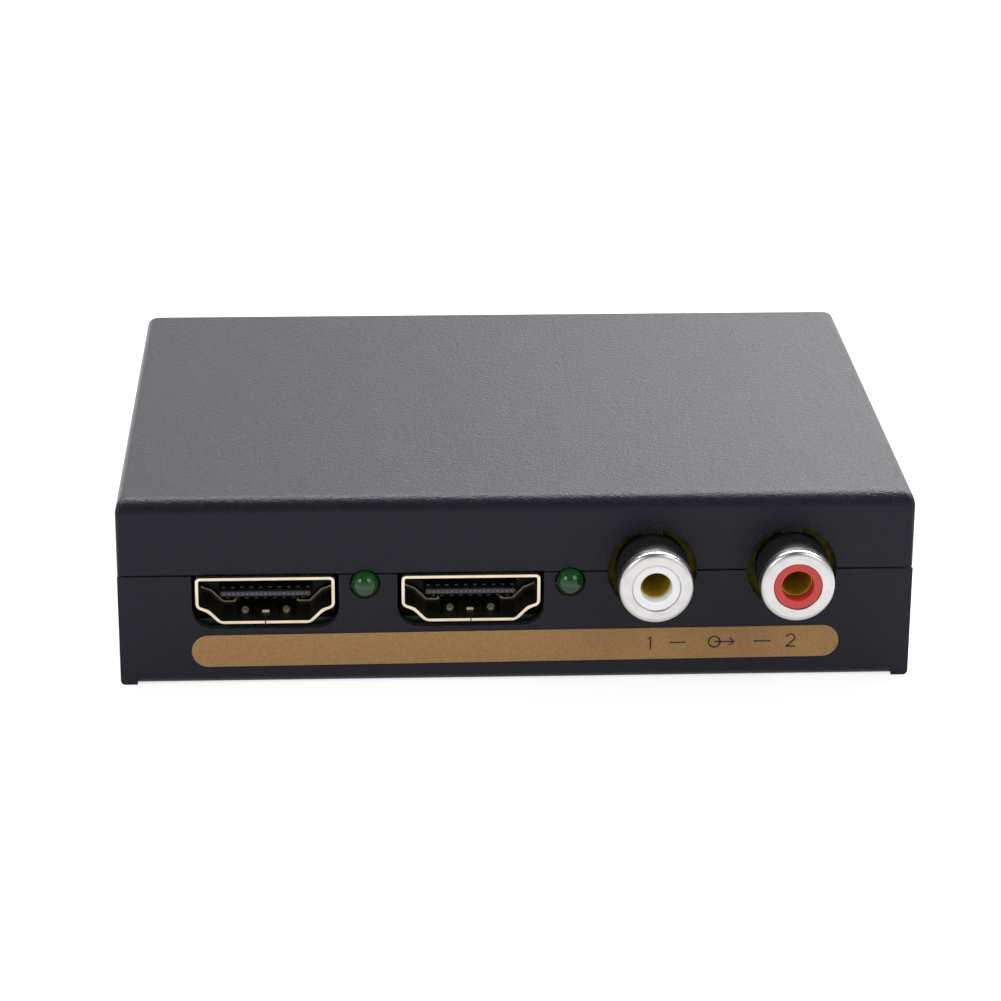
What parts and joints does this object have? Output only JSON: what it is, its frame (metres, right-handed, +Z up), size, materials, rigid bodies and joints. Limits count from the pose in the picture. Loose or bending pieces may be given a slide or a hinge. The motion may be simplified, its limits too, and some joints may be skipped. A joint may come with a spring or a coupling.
{
  "type": "hdmi audio extractor",
  "caption": "Flat black sheet-metal box that takes a digital video signal in, passes it on, and gives its sound at analogue phono jacks and an optical outlet.",
  "frame": {"origin": "centre of the flat underside of the case, midway between the side panels and between the front and rear panels", "axes": "+Z up; -Y out of the front panel with the video sockets and phono jacks; +X to the right, seen from the front"},
  "size_m": [0.085, 0.0715, 0.021],
  "materials": {
    "powder_black": "fine textured black powder coat",
    "gold_stripe": "matt metallic gold-brown print with a fine grain",
    "gold_plating": "pale gold plating on thin folded sheet",
    "moulded_black": "moulded black plastic",
    "contact_gold": "gold-flashed contact strip",
    "brass": "stamped brass",
    "nickel": "bright nickel plating",
    "steel": "zinc-plated steel",
    "black_screw": "black zinc",
    "insulator_white": "moulded white plastic",
    "insulator_red": "moulded red plastic",
    "lamp_green": "tinted, slightly milky green resin",
    "board_green": "green solder mask over glass laminate",
    "chip_black": "moulded epoxy",
    "bright_can": "drawn aluminium",
    "ferrite": "dark ferrite",
    "ceramic_tan": "fired ceramic",
    "phenolic": "brown phenolic board",
    "emitter_red": "clear red resin"
  },
  "bodies": {
    "case": {"bottom_case": "powder_black", "top_cover": "powder_black", "side_brackets": "steel", "cover_screws": "black_screw", "front_label": "gold_stripe", "rear_label": "gold_stripe", "board_standoffs": "steel", "board_screws": "steel", "main_board": "board_green", "input_socket_shell": "gold_plating", "input_socket_insulator": "moulded_black", "input_socket_contacts": "contact_gold", "output_socket_shell": "gold_plating", "output_socket_insulator": "moulded_black", "output_socket_contacts": "contact_gold", "input_lamp": "lamp_green", "output_lamp": "lamp_green", "lamp_leads": "steel", "jack_housing": "moulded_black", "jack_ground_rings": "brass", "left_jack_ring": "nickel", "right_jack_ring": "nickel", "left_jack_insulator": "insulator_white", "right_jack_insulator": "insulator_red", "left_jack_contact": "brass", "right_jack_contact": "brass", "optical_housing": "moulded_black", "shutter_pin": "steel", "shutter_spring": "steel", "optical_emitter": "emitter_red", "optical_leads": "steel", "power_jack_body": "moulded_black", "power_jack_pin": "nickel", "power_jack_spring": "brass", "switch_frame": "steel", "switch_base": "phenolic", "switch_terminals": "brass", "receiver_chip": "chip_black", "receiver_chip_legs": "steel", "audio_chip": "chip_black", "audio_chip_legs": "steel", "voltage_regulator": "chip_black", "regulator_legs": "steel", "clock_crystal": "bright_can", "power_inductor": "ferrite", "capacitor_cans": "bright_can", "capacitor_bases": "chip_black", "small_capacitors": "ceramic_tan", "small_resistors": "chip_black"},
    "shutter": {"optical_shutter": "moulded_black"},
    "mode_slider": {"switch_slider": "moulded_black"}
  },
  "joints": [
    {"name": "shutter_hinge", "type": "hinge", "parent": "case", "child": "shutter", "pos_m": [-0.022, 0.03165, 0.01625], "axis": [-1, 0, 0], "range_deg": [0, 88], "stiffness_Nm_per_rad": 0.0004, "springref_deg": -17.19},
    {"name": "mode_slide", "type": "slide", "parent": "case", "child": "mode_slider", "axis": [1, 0, 0], "range_m": [-0.002, 0.002]}
  ]
}
